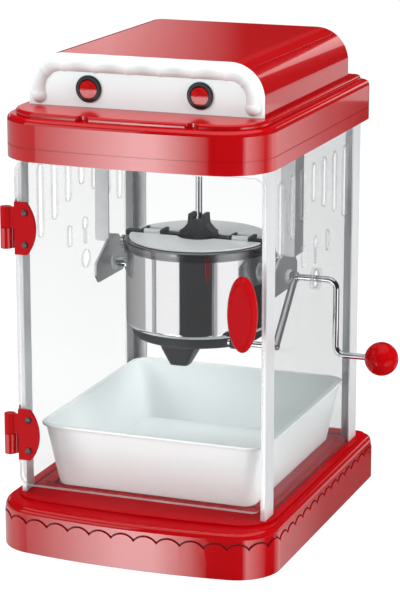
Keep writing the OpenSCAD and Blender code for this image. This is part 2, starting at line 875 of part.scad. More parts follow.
module lamp_holder() {
    z0 = band_z + ceiling_t;
    color([0.93, 0.93, 0.9]) difference() {
        union() {
            translate([lamp_x, lamp_y, z0]) cylinder(d = lamp_hole_d + 8, h = 3, $fn = 60);
            translate([lamp_x, lamp_y, z0 + 3]) cylinder(d = 24, h = 20, $fn = 60);
            translate([lamp_x, lamp_y, band_z]) cylinder(d = lamp_hole_d - 0.6,
                h = ceiling_t, $fn = 60);
        }
        translate([lamp_x, lamp_y, band_z - 1]) cylinder(d = 16, h = 16, $fn = fine_fn);
    }
}

// Small pygmy bulb: cap, neck and globe
module lamp_bulb() {
    color([1, 0.95, 0.8]) translate([lamp_x, lamp_y, band_z]) {
        translate([0, 0, -1]) cylinder(d = 15.4, h = 14.4, $fn = fine_fn);
        translate([0, 0, -12]) sphere(d = 24, $fn = 60);
        translate([0, 0, -8]) cylinder(d1 = 21, d2 = 15.4, h = 7, $fn = fine_fn);
    }
}

// ---- kettle hangers -------------------------------------------------------

// Right-hand hanger: top flange, angled strap, joggle and drilled plate
module hanger() {
    strap_d = 24;
    front = kettle_y - 14;
    color([0.55, 0.56, 0.58]) difference() {
        union() {
            // flange screwed up to the ceiling
            translate([web_x - hanger_flange, front, band_z - hanger_t])
                cube([hanger_flange + hanger_t, strap_d + 4, hanger_t]);
            // web of the strap
            translate([web_x, front, knee_z])
                cube([hanger_t, strap_d, band_z - knee_z]);
            // stiffening flange that faces the door
            translate([plate_x, front, knee_z])
                cube([web_x - plate_x + hanger_t, hanger_t, band_z - knee_z]);
            // shelf back in to the plate
            translate([plate_x, front, knee_z])
                cube([web_x - plate_x + hanger_t, strap_d, hanger_t]);
            facing_side(plate_x, hanger_t) polygon([
                [front, knee_z + hanger_t], [front + strap_d, knee_z + hanger_t],
                [kettle_y + 27, pivot_z + 8], [kettle_y + 27, pivot_z - 7],
                [kettle_y + 19, pivot_z - 12], [kettle_y - 36, pivot_z - 12],
                [kettle_y - 42, pivot_z - 5], [kettle_y - 42, pivot_z + 6]
            ]);
        }
        rod_x(plate_x - 1, plate_x + hanger_t + 1, trunnion_d + 2 * bush_wall + 0.1,
            kettle_y, pivot_z);
        for (p = hanger_holes) translate([abs(p[0]), p[1], band_z - 8])
            cylinder(d = 3.2, h = 10, $fn = fine_fn);
    }
}

module hanger_right() { hanger(); }
module hanger_left() { mirror([1, 0, 0]) hanger(); }

module hanger_bushes() {
    color([0.92, 0.92, 0.88]) for (s = [0, 1]) mirror([s, 0, 0]) difference() {
        union() {
            rod_x(plate_x - bush_flange, plate_x + hanger_t + 2.4,
                trunnion_d + 2 * bush_wall, kettle_y, pivot_z);
            rod_x(plate_x - bush_flange, plate_x, trunnion_d + 2 * bush_wall + 4,
                kettle_y, pivot_z);
        }
        rod_x(plate_x - 5, plate_x + 10, trunnion_d + 2 * run, kettle_y, pivot_z);
    }
}

module hanger_screws() {
    color(steel) for (p = hanger_holes)
        translate([p[0], p[1], band_z + ceiling_t]) screw(3.1, 7, 6.4, 2.2);
}

// ---- crank ----------------------------------------------------------------

bend_r = 8;

module crank_grommet() {
    x1 = half_cab_w - post_t;
    color([0.9, 0.92, 0.93]) difference() {
        union() {
            rod_x(x1 - pane_t, x1, crank_hole_d - 0.2, kettle_y, pivot_z);
            rod_x(x1, x1 + 2, crank_hole_d + 2.6, kettle_y, pivot_z);
            rod_x(x1 - pane_t - 1.6, x1 - pane_t, crank_hole_d + 2.6, kettle_y, pivot_z);
        }
        rod_x(x1 - 20, x1 + 20, rod_d + 2 * run, kettle_y, pivot_z);
    }
}

// Quarter bend of the crank rod, from +X down to -Z
module bend() {
    rotate([90, 0, 0]) rotate_extrude(angle = 90, $fn = round_fn)
        translate([bend_r, 0]) circle(d = rod_d, $fn = fine_fn);
}

module crank_rod() {
    arm_d = rod_d + 1.2;
    low = pivot_z - crank_drop;
    arm = arm_reach * sqrt(2);
    color([0.85, 0.86, 0.88]) translate([0, kettle_y, 0]) {
        rod_x(crank_end, crank_x - bend_r, rod_d, 0, pivot_z);
        translate([crank_x - bend_r, 0, pivot_z - bend_r]) bend();
        translate([crank_x, 0, low + bend_r])
            cylinder(d = rod_d, h = crank_drop - 2 * bend_r, $fn = fine_fn);
        translate([crank_x + bend_r, 0, low + bend_r]) rotate([0, 180, 0]) bend();
        rod_x(crank_x + bend_r, ball_x, rod_d, 0, low);
        // arm welded to the shaft, and its finger
        rod_x(arm_x - 3, arm_x + 3, rod_d + 3, 0, pivot_z);
        translate([arm_x, 0, pivot_z]) rotate([135, 0, 0])
            cylinder(d = arm_d, h = arm, $fn = fine_fn);
        translate([arm_x, -arm_reach, pivot_z - arm_reach])
            sphere(d = arm_d + 0.8, $fn = fine_fn);
        rod_x(finger_x, arm_x, rod_d, -arm_reach, pivot_z - arm_reach);
    }
}

module crank_ball() {
    color(red) translate([ball_x, kettle_y, pivot_z - crank_drop]) difference() {
        sphere(d = ball_d, $fn = 72);
        rod_x(-ball_d, 0, rod_d);
    }
}

// ---- door -----------------------------------------------------------------

hinge_screw_dz = 14;
hinge_screw_x = -half_cab_w + 11.5;
door_screw_d = 3;
leaf_bow_r = 36;
handle_screw_d = 4;
handle_head_d = 7;
handle_head_h = 2.2;
hinge_plate_w = 15;

module door_panel() {
    color(clear) difference() {
        facing_front(door_front, door_t)
            translate([door_x0 + door_w / 2, door_z + door_h / 2])
                rounded_rect(door_w, door_h, 9);
        for (z = [hinge_low_z, hinge_high_z], s = [-1, 1])
            rod_y(door_front - 1, door_back + 1, door_screw_d + 0.2,
                hinge_screw_x, z + s * hinge_screw_dz);
        rod_y(door_front - 1, door_back + 1, handle_screw_d + 0.4,
            handle_x, handle_z);
        // counterbore for the handle's screw
        rod_y(door_back - handle_head_h - 0.2, door_back + 1,
            handle_head_d + 0.6, handle_x, handle_z);
    }
}

// Door leaf: a D-shaped plate on the door's face and the upper knuckle
module hinge_leaf(z) {
    knuckle_h = barrel_h / 2 - hinge_seam / 2;
    leaf_x = -half_cab_w + 1.4;
    color(red) difference() {
        union() {
            facing_front(door_front - leaf_t, leaf_t) translate([leaf_x, z])
                intersection() {
                    translate([0, -leaf_h / 2]) square([leaf_w, leaf_h]);
                    translate([leaf_w - leaf_bow_r, 0])
                        circle(r = leaf_bow_r, $fn = 180);
                }
            translate([hinge_x, hinge_y, z + hinge_seam / 2])
                cylinder(d = barrel_d, h = knuckle_h, $fn = 48);
            translate([hinge_x, door_front - leaf_t, z + hinge_seam / 2])
                cube([leaf_x - hinge_x + 1, leaf_t, knuckle_h]);
        }
        translate([hinge_x, hinge_y, z - 1])
            cylinder(d = hinge_pin_d + 2 * run, h = knuckle_h - 1.5, $fn = fine_fn);
        for (s = [-1, 1]) rod_y(door_front - 10, door_front + 1,
            door_screw_d + 0.2, hinge_screw_x, z + s * hinge_screw_dz);
    }
}

module hinge_leaf_upper() { hinge_leaf(hinge_high_z); }
module hinge_leaf_lower() { hinge_leaf(hinge_low_z); }

// Fixed leaf: a plate on the post's side and the lower knuckle
module hinge_fixed(z) {
    knuckle_h = barrel_h / 2 - hinge_seam / 2;
    plate_t = 2.4;
    color(red) difference() {
        union() {
            translate([-half_cab_w - plate_t, -half_cab_d + 0.6, z - leaf_h / 2])
                cube([plate_t, hinge_plate_w, leaf_h]);
            translate([hinge_x, hinge_y, z - barrel_h / 2])
                cylinder(d = barrel_d, h = knuckle_h, $fn = 48);
            translate([-half_cab_w - plate_t - 1.4, hinge_y, z - barrel_h / 2])
                cube([plate_t + 0.9, -half_cab_d + 1 - hinge_y, knuckle_h]);
        }
        translate([hinge_x, hinge_y, z - barrel_h / 2 - 1])
            cylinder(d = hinge_pin_d, h = barrel_h, $fn = fine_fn);
    }
}

module hinge_fixed_upper() { hinge_fixed(hinge_high_z); }
module hinge_fixed_lower() { hinge_fixed(hinge_low_z); }

module hinge_pins() {
    color(steel) for (z = [hinge_low_z, hinge_high_z])
        translate([hinge_x, hinge_y, z - barrel_h / 2])
            cylinder(d = hinge_pin_d, h = barrel_h - 5, $fn = fine_fn);
}

module hinge_screws() {
    color(steel) for (z = [hinge_low_z, hinge_high_z], s = [-1, 1])
        translate([hinge_screw_x, door_front - leaf_t, z + s * hinge_screw_dz])
            rotate([90, 0, 0]) screw(door_screw_d, door_t + leaf_t - 0.5, 5.6, 1.6);
}

handle_x = door_x0 + door_w - 12.5;

// Oval knob: crowned body, raised face and a flattened stem
module door_handle() {
    body_t = 10;
    back_y = door_front - handle_stem;
    color(red) difference() {
        union() {
            hull() {
                oval_disc(handle_w, handle_h, back_y - body_t + 4, 1);
                oval_disc(handle_w - 1.5, handle_h - 3, back_y - 1.2, 1);
                oval_disc(handle_w - 7, handle_h - 12, back_y - 0.1, 0.1);
                oval_disc(handle_w - 4.5, handle_h - 7, back_y - body_t, 0.6);
            }
            hull() {
                oval_disc(handle_w - 6, handle_h - 9, back_y - body_t + 1, 1);
                oval_disc(handle_w - 8.5, handle_h - 13, back_y - body_t - 1.6, 0.6);
            }
            translate([handle_x, back_y - 0.5, handle_z]) rotate([-90, 0, 0])
                linear_extrude(handle_stem + 0.5) rounded_rect(11, 16, 4);
        }
        rod_y(back_y - 4, door_front + 1, handle_screw_d, handle_x, handle_z);
    }
}

// Thin oval slab that faces the front
module oval_disc(w, h, y, t) {
    translate([handle_x, y + t, handle_z]) rotate([90, 0, 0])
        linear_extrude(t) scale([w / h, 1]) circle(d = h, $fn = 64);
}

module handle_screw() {
    seat_y = door_back - handle_head_h - 0.1;
    color(steel) translate([handle_x, seat_y, handle_z]) rotate([-90, 0, 0])
        screw(handle_screw_d, door_t + handle_stem, handle_head_d, handle_head_h);
}

// ---- kettle ---------------------------------------------------------------

module kettle_pot() {
    r = kettle_r;
    fillet = 5;
    color([0.8, 0.81, 0.83]) translate([0, kettle_y, 0]) difference() {
        rotate_extrude($fn = 180) difference() {
            union() {
                translate([0, kettle_z]) square([r - fillet, kettle_top - 2 - kettle_z]);
                translate([0, kettle_z + fillet])
                    square([r, kettle_top - 2 - kettle_z - fillet]);
                translate([r - fillet, kettle_z + fillet])
                    circle(r = fillet, $fn = fine_fn);
            }
            translate([0, kettle_z + pot_t + fillet])
                square([r - pot_t, kettle_top]);
            translate([0, kettle_z + pot_t])
                square([r - pot_t - fillet, kettle_top]);
            translate([r - pot_t - fillet, kettle_z + pot_t + fillet])
                circle(r = fillet, $fn = fine_fn);
        }
        // holes for the trunnions and the studs of the wing nuts
        rod_x(-r - 5, r + 5, trunnion_d - 2, 0, pivot_z);
        rod_x(-r - 5, r + 5, 3.4, 0, stud_z);
    }
}

stud_z = kettle_top - 12;

// Rolled rim: a bead over the pot's edge with a broad outer band
module kettle_rim() {
    r = kettle_r;
    out = rim_t;
    color([0.3, 0.3, 0.32]) translate([0, kettle_y, 0])
        rotate_extrude($fn = 180) difference() {
            union() {
                translate([r - 2.4, kettle_top - 2])
                    square([out + 2.4 - 1, 2]);
                translate([r, kettle_top - rim_h])
                    square([out, rim_h - 1]);
                translate([r + out - 1, kettle_top - 1]) circle(r = 1, $fn = 24);
            }
            translate([r + out - 0.5, kettle_top - rim_h + 2.4]) square([1, 1.2]);
        }
}

// Shallow cup under the pot, with the eye that the tipping finger works in
module heater_base() {
    r = heater_d / 2;
    eye_y = -arm_reach;
    eye_z = pivot_z - arm_reach;
    eye_d = rod_d + 6;
    color(dark) translate([0, kettle_y, 0]) difference() {
        union() {
            rotate_extrude($fn = 120) difference() {
                union() {
                    translate([0, heater_z]) square([r - 3, heater_h]);
                    translate([0, heater_z + 3]) square([r, heater_h - 3]);
                    translate([r - 3, heater_z + 3]) circle(r = 3, $fn = fine_fn);
                }
                translate([0, heater_z + 1.6]) square([r - 2, heater_h]);
            }
            rod_x(lug_x, lug_x + lug_t, eye_d, eye_y, eye_z);
            translate([lug_x, eye_y, heater_z + 3.4])
                cube([lug_t, 22, heater_h - 3.9]);
        }
        rod_x(lug_x - 1, lug_x + lug_t + 1, rod_d + 2 * run, eye_y, eye_z);
        rotate_extrude($fn = 120)
            translate([0, heater_z + 1.6]) square([r - 2, heater_h]);
    }
}

module heater_plate() {
    color([0.7, 0.7, 0.7]) translate([0, kettle_y, heater_z + 1.6]) difference() {
        cylinder(r = heater_d / 2 - 2.4, h = heater_h - 1.6 - 0.05, $fn = 120);
        translate([0, 0, -1]) cylinder(d = 8, h = 20, $fn = fine_fn);
    }
}

box_x = -10;
box_y = kettle_y - 17;

// Moulded cover of the heater's terminals, narrower below
module terminal_box() {
    color([0.08, 0.08, 0.09]) {
        hull() {
            translate([box_x, box_y, heater_z - 3]) linear_extrude(3)
                rounded_rect(34, 30, 5);
            translate([box_x, box_y, heater_z - 10]) linear_extrude(1)
                rounded_rect(32, 28, 5);
        }
        hull() {
            translate([box_x, box_y, heater_z - 10]) linear_extrude(1)
                rounded_rect(32, 28, 5);
            translate([box_x - 1, box_y, heater_z - 26]) linear_extrude(1)
                rounded_rect(17, 16, 4);
        }
    }
}

// Left trunnion: shouldered stud with an acorn nut outside the hanger
module trunnion_left() {
    nut_x = plate_x + hanger_t + 6;
    color(steel) translate([0, kettle_y, pivot_z]) mirror([1, 0, 0]) {
        trunnion_root();
        rod_x(kettle_r + 3, nut_x, trunnion_d);
        rod_x(nut_x, nut_x + 1.2, 13);
        translate([nut_x + 1, 0, 0]) rotate([0, 90, 0])
            linear_extrude(4.6) circle(d = 11, $fn = 6);
        translate([nut_x + 5, 0, 0]) rotate([0, 90, 0]) dome(8.6, 3.4);
    }
}

// Flange riveted to the pot, and its spigot through the wall
module trunnion_root() {
    difference() {
        union() {
            rod_x(kettle_r - pot_t - 2, kettle_r + 3, 18);
            rod_x(kettle_r - 4, kettle_r + 3.5, trunnion_d - 2.1);
        }
        difference() {
            cylinder(r = kettle_r, h = 40, center = true, $fn = 180);
            rod_x(kettle_r - 10, kettle_r + 10, trunnion_d - 2.1);
        }
    }
}

// Right trunnion: bored to carry the end of the crank
module trunnion_right() {
    color(steel) translate([0, kettle_y, pivot_z]) difference() {
        union() {
            trunnion_root();
            rod_x(kettle_r + 3, plate_x + hanger_t + 3.4, trunnion_d);
        }
        rod_x(crank_end - gap, plate_x + 20, rod_d + 2 * run);
    }
}

// Flat bar across the pot with turned-down ends, a boss for the hub, and
// brackets that hold the hinge rods of the lids
module crossbar() {
    end_x = kettle_r + rim_t + gap;
    end_z = stud_z - 5;
    color([0.2, 0.2, 0.21]) translate([0, kettle_y, 0]) difference() {
        union() {
            translate([-end_x - bar_t, -bar_w / 2, bar_z])
                cube([2 * (end_x + bar_t), bar_w, bar_t]);
            translate([0, 0, bar_z]) cylinder(d = hub_w - 8, h = bar_t, $fn = 60);
            for (s = [-1, 1]) {
                translate([s > 0 ? end_x : -end_x - bar_t, -bar_w / 2, end_z])
                    cube([bar_t, bar_w, bar_z - end_z + eps]);
                for (x = bracket_x) translate([s * x - bracket_t / 2, 0, 0]) {
                    translate([0, -lid_hinge_y, bar_z])
                        cube([bracket_t, 2 * lid_hinge_y, lid_axis_z - bar_z + 1.9]);
                    for (y = [-1, 1])
                        rod_x(0, bracket_t, 3.8, y * lid_hinge_y, lid_axis_z);
                }
                for (y = [-1, 1])
                    rod_x(s > 0 ? bracket_x[0] : -bracket_x[1],
                        s > 0 ? bracket_x[1] : -bracket_x[0],
                        hinge_rod_d, y * lid_hinge_y, lid_axis_z);
            }
        }
        rod_x(-end_x - 5, end_x + 5, 3.4, 0, stud_z);
        translate([0, 0, bar_z - 1]) cylinder(d = neck_d + 0.2, h = 4, $fn = fine_fn);
    }
}

// Black bearing housing on the crossbar: horns, sloped gussets and neck
module hub_housing() {
    half_t = 7;
    z = bar_z + bar_t;
    half = [[hub_w / 2, z], [hub_w / 2, z + 4.5], [hub_w / 2 - 2.5, z + 5.5],
        [8.5, z + 11], [7.8, z + hub_h], [4.4, z + hub_h], [4.4, z + hub_seat]];
    color(dark) translate([0, kettle_y, 0]) difference() {
        union() {
            facing_front(-half_t, 2 * half_t) polygon(concat(half, mirrored(half)));
            translate([0, 0, bar_z - 12]) cylinder(d = neck_d, h = 16, $fn = fine_fn);
        }
        translate([0, 0, bar_z - 20])
            cylinder(d = shaft_d + 2 * run, h = 60, $fn = fine_fn);
    }
}

// Wing nuts that clamp the crossbar's ends to studs on the pot
module wing_nuts() {
    stud_d = 3.2;
    nut_x = rim_t + gap + bar_t + gap;  // seats on the crossbar's end
    nut_l = (plate_x - kettle_r - nut_x) * 0.35;
    color(steel) for (s = [0, 1]) mirror([s, 0, 0])
        translate([kettle_r, kettle_y, stud_z]) {
            rod_x(-3, nut_x + 1.6 * nut_l, stud_d);
            rod_x(-pot_t - 1.4, -pot_t - 0.2, 7);
            rod_x(nut_x, nut_x + nut_l, 8);
            for (a = [35, 215]) rotate([a, 0, 0])
                translate([nut_x + nut_l / 2, 0, 6.5]) difference() {
                    rod_x(-nut_l / 4, nut_l / 4, 8);
                    rod_x(-nut_l, nut_l, 3.4);
                }
        }
}

// Half lid: a clear half disc cut out round the hub, with two barrels that
// turn on the crossbar's rods
module half_lid() {
    edge_y = lid_hinge_y + 2.2;
    barrel = hinge_rod_d + 2.2;
    x0 = bracket_x[0] + bracket_t / 2 + gap;
    x1 = bracket_x[1] - bracket_t / 2 - gap;
    color(clear) translate([0, kettle_y, 0]) difference() {
        union() {
            translate([0, 0, lid_z]) linear_extrude(lid_t) difference() {
                circle(r = lid_r, $fn = 120);
                translate([-kettle_d, -edge_y]) square(2 * kettle_d);
                circle(r = 19.5, $fn = 60);
            }
            for (s = [0, 1]) mirror([s, 0, 0]) {
                translate([x0, -edge_y - 2, lid_z])
                    cube([x1 - x0, edge_y + 2 - lid_hinge_y, lid_t]);
                rod_x(x0, x1, barrel, -lid_hinge_y, lid_axis_z);
            }
        }
        for (s = [0, 1]) mirror([s, 0, 0]) rod_x(x0 - 1, x1 + 1,
            hinge_rod_d + 2 * run, -lid_hinge_y, lid_axis_z);
    }
}

module lid_front() { half_lid(); }
module lid_rear() {
    translate([0, 2 * kettle_y, 0]) mirror([0, 1, 0]) half_lid();
}

// ---- stirrer --------------------------------------------------------------

// Involute flank of a tooth: point at roll angle a, in degrees
function involute(base_r, a) = let (t = a * PI / 180)
    [base_r * (cos(a) + t * sin(a)), base_r * (sin(a) - t * cos(a))];
function turned(p, a) = [p[0] * cos(a) - p[1] * sin(a), p[0] * sin(a) + p[1] * cos(a)];
function roll_at(base_r, r) = sqrt(max(0, pow(r / base_r, 2) - 1)) * 180 / PI;

// Spur gear with involute teeth, the middle of one tooth on +X
module spur_gear(teeth, module_size, h, bore) {
    pressure = 20;
    slack = 1.1;            // degrees taken off each tooth for backlash
    pitch_r = teeth * module_size / 2;
    base_r = pitch_r * cos(pressure);
    tip_r = pitch_r + 0.9 * module_size;
    root_r = pitch_r - 1.2 * module_size;
    start_r = max(base_r, root_r);
    pitch_p = involute(base_r, roll_at(base_r, pitch_r));
    half = 90 / teeth + atan2(pitch_p[1], pitch_p[0]) - slack / 2;
    steps = 5;
    r0 = roll_at(base_r, start_r);
    r1 = roll_at(base_r, tip_r);
    flank = [for (i = [0:steps]) involute(base_r, r0 + (r1 - r0) * i / steps)];
    tooth = concat(
        [[root_r * cos(half), -root_r * sin(half)]],
        [for (i = [0:steps]) turned(flank[i], -half)],
        [for (i = [steps:-1:0]) turned([flank[i][0], -flank[i][1]], half)],
        [[root_r * cos(half), root_r * sin(half)]]
    );
    difference() {
        linear_extrude(h) polygon([
            for (k = [0:teeth - 1], p = tooth) turned(p, k * 360 / teeth)
        ]);
        translate([0, 0, -1]) cylinder(d = bore, h = h + 2, $fn = fine_fn);
    }
}

module stir_gear() {
    color([0.85, 0.84, 0.8]) translate([0, kettle_y, gear_z]) {
        rotate(90) spur_gear(gear_teeth, gear_module, gear_h, shaft_d);
        translate([0, 0, -5]) difference() {
            cylinder(d = shaft_d + 6, h = 5, $fn = fine_fn);
            translate([0, 0, -1]) cylinder(d = shaft_d, h = 8, $fn = fine_fn);
        }
    }
}

module drive_gear() {
    mesh = gear_teeth % 2 == 0 ? 180 / gear_teeth : 0;
    color([0.8, 0.78, 0.7]) translate([0, motor_y, gear_z]) {
        rotate(-90 + mesh) spur_gear(gear_teeth, gear_module, gear_h, motor_shaft_d);
        cylinder(d = motor_shaft_d, h = band_z + ceiling_t + 9 - gear_z, $fn = fine_fn);
        translate([0, 0, gear_h]) cylinder(d = 11, h = 4, $fn = fine_fn);
    }
}

paddle_z = kettle_z + pot_t + 1.2;

module stir_shaft() {
    top = gear_z + gear_h + 1.5;
    color([0.88, 0.89, 0.9]) translate([0, kettle_y, paddle_z + 3]) {
        cylinder(r = stir_r, h = top - paddle_z - 3.8, $fn = fine_fn);
        translate([0, 0, top - paddle_z - 3.8])
            cylinder(r1 = stir_r, r2 = stir_r - 0.8, h = 0.8, $fn = fine_fn);
        // collar that runs on the hub
        translate([0, 0, bar_z + bar_t + hub_seat + run - paddle_z - 3])
            cylinder(d = shaft_d + 2, h = 2, $fn = fine_fn);
    }
}

// Stirrer: hub and two bent blades that sweep the floor of the pot
module stir_paddle() {
    color(steel) translate([0, kettle_y, paddle_z]) {
        difference() {
            cylinder(d = 2 * shaft_d, h = 1.5 * shaft_d, $fn = fine_fn);
            translate([0, 0, 3]) cylinder(r = stir_r, h = 2 * shaft_d, $fn = fine_fn);
        }
        for (a = [0, 180]) rotate(a) {
            translate([5, -1, 0]) cube([blade_reach - 5, 2, 6]);
            translate([blade_reach * 0.55, -1, 0]) rotate(38)
                cube([18, 1.8, 5]);
        }
    }
}

// ---- tray -----------------------------------------------------------------

module tray_block(w, d, taper, z0, z1, r) {
    hull() {
        translate([0, 0, z1 - eps]) linear_extrude(eps) rounded_rect(w, d, r);
        translate([0, 0, z0]) linear_extrude(eps)
            rounded_rect(w - 2 * taper, d - 2 * taper, r - 4);
    }
}

tray_r = 18;
tray_lip = 2.5;

module popcorn_tray() {
    body_w = tray_w - 2 * tray_lip;
    body_d = tray_d - 2 * tray_lip;
    body_taper = tray_taper - tray_lip;
    color([0.96, 0.96, 0.95]) translate([0, tray_y, tray_z]) difference() {
        union() {
            tray_block(body_w, body_d, body_taper, 0, tray_h, tray_r - tray_lip);
            translate([0, 0, tray_h - 2.4]) linear_extrude(2.4)
                rounded_rect(tray_w, tray_d, tray_r);
        }
        tray_block(body_w - 2 * tray_t, body_d - 2 * tray_t, body_taper,
            tray_t, tray_h + eps, tray_r - tray_lip - tray_t);
    }
}

// ---- assembly -------------------------------------------------------------

base_shell();
base_plate();
base_screws();
rubber_feet();
post_front_left();
post_front_right();
post_rear_left();
post_rear_right();
side_panel_left();
side_panel_right();
rear_panel();
top_band();
ceiling_plate();
hood();
hood_front_panel();
hood_screws();
switch_bezel_left();
switch_bezel_right();
switch_rocker_left();
switch_rocker_right();
motor();
gearbox();
drive_gear();
lamp_holder();
lamp_bulb();
hanger_left();
hanger_right();
hanger_bushes();
hanger_screws();
crank_grommet();
crank_rod();
crank_ball();
cord_gland();
hinge_fixed_upper();
hinge_fixed_lower();
hinge_pins();
hinge_leaf_upper();
hinge_leaf_lower();
hinge_screws();
door_panel();
door_handle();
handle_screw();
kettle_pot();
kettle_rim();
heater_base();
heater_plate();
terminal_box();
trunnion_left();
trunnion_right();
crossbar();
hub_housing();
wing_nuts();
stir_shaft();
stir_gear();
stir_paddle();
lid_front();
lid_rear();
popcorn_tray();
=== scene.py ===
import math

import bmesh
import bpy
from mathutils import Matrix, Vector


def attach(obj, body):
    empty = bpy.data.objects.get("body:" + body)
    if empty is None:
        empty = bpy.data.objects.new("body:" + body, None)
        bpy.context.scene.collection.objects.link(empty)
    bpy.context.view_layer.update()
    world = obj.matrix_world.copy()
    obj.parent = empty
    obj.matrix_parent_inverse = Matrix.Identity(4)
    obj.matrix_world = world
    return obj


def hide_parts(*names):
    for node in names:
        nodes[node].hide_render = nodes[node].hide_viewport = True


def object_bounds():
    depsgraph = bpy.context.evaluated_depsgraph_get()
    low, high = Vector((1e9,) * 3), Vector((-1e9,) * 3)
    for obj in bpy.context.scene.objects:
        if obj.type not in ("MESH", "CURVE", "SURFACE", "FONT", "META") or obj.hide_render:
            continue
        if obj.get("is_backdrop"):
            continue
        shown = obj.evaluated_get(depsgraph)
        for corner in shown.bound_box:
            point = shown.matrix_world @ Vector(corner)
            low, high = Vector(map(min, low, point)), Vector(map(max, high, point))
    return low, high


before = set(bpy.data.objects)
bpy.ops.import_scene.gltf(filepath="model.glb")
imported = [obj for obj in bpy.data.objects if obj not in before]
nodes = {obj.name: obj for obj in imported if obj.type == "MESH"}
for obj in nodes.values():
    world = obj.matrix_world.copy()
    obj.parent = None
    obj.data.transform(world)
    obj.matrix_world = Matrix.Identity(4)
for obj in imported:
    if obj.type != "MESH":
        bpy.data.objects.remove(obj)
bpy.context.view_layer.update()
scene = bpy.context.scene

# ---- Studio -----------------------------------------------------------------
# A white table in a pale room, three soft boxes, and a ring of white cards and
# black flags that only gloss sees. The camera stands two metres off, to the
# right of the door and a little above it.

eye = Vector((0.73604, -1.92347, 0.72064))
aim = Vector((0.00423, 0.0015, 0.19481))
camera = bpy.data.objects.new("camera", bpy.data.cameras.new("camera"))
camera.data.lens = 142.04
camera.data.sensor_width = 36
camera.data.clip_end = 50
camera.location = eye
camera.rotation_mode = "QUATERNION"
camera.rotation_quaternion = (aim - eye).to_track_quat("-Z", "Y")
scene.collection.objects.link(camera)
scene.camera = camera
scene.view_settings.view_transform = "Standard"


class Wire:
    """A socket that takes part in sums."""

    def __init__(self, finish, socket):
        self.finish, self.socket = finish, socket

    def sum(self, operation, *values):
        return self.finish.node("ShaderNodeMath", {"operation": operation}, *values)

    def __add__(self, other):
        return self.sum("ADD", self, other)

    def __rsub__(self, other):
        return self.sum("SUBTRACT", other, self)

    def __mul__(self, other):
        return self.sum("MULTIPLY", self, other)

    def __pow__(self, other):
        return self.sum("POWER", self, other)

    __radd__ = __add__
    __rmul__ = __mul__


class Finish:
    """A material on a Principled shader, with constants set on its sockets."""

    def __init__(self, name, **constants):
        self.material = bpy.data.materials.new(name)
        self.material.use_nodes = True
        self.tree = self.material.node_tree
        self.shader = self.tree.nodes["Principled BSDF"]
        for key, value in constants.items():
            self.shader.inputs[key.replace("_", " ")].default_value = value

    def node(self, kind, settings, *values, out=0, **named):
        made = self.tree.nodes.new(kind)
        for key, value in settings.items():
            setattr(made, key, value)
        for key, value in [*enumerate(values), *named.items()]:
            self.join(made.inputs[key], value)
        return Wire(self, made.outputs[out])

    def join(self, target, value):
        if isinstance(value, Wire):
            self.tree.links.new(value.socket, target)
        else:
            target.default_value = value

    def feed(self, name, value):
        self.join(self.shader.inputs[name], value)

    def place(self, scale=(1, 1, 1)):
        spot = self.node("ShaderNodeTexCoord", {}, out="Object")
        return self.node("ShaderNodeMapping", {}, Vector=spot, Scale=scale)

    def noise(self, scale, detail=2.0, spot=None):
        return self.node("ShaderNodeTexNoise", {}, out="Fac", Vector=spot or self.place(),
                         Scale=scale, Detail=detail)

    def colour(self, mask, first, last):
        """Feeds the base colour, which runs from one shade to the other with the mask."""
        mix = self.tree.nodes.new("ShaderNodeMix")
        mix.data_type = "RGBA"
        a_colour, b_colour, colour_out = mix.inputs[6], mix.inputs[7], mix.outputs[2]
        self.join(mix.inputs["Factor"], mask)
        self.join(a_colour, (*first, 1))
        self.join(b_colour, (*last, 1))
        self.feed("Base Color", Wire(self, colour_out))

    def bump(self, height, strength, distance):
        self.feed("Normal", self.node("ShaderNodeBump", {}, Height=height,
                                      Strength=strength, Distance=distance))


def linked(name, mesh):
    piece = bpy.data.objects.new(name, mesh)
    scene.collection.objects.link(piece)
    return piece


def soft_box(name, place, target, width, height, watts):
    light = bpy.data.objects.new(name, bpy.data.lights.new(name, "AREA"))
    light.data.shape = "RECTANGLE"
    light.data.size, light.data.size_y = width, height
    light.data.energy = watts
    light.location = place
    light.rotation_mode = "QUATERNION"
    light.rotation_quaternion = (Vector(target) - Vector(place)).to_track_quat("-Z", "Y")
    light.visible_glossy = False
    scene.collection.objects.link(light)


soft_box("key_box", (-1.5, -2.0, 1.3), (0, 0, 0.25), 1.2, 1.4, 38)
soft_box("fill_box", (2.2, -0.3, 0.9), (0, 0, 0.2), 0.9, 1.2, 40)
soft_box("top_box", (0.0, 0.1, 2.2), (0, 0, 0.3), 1.6, 1.6, 48)

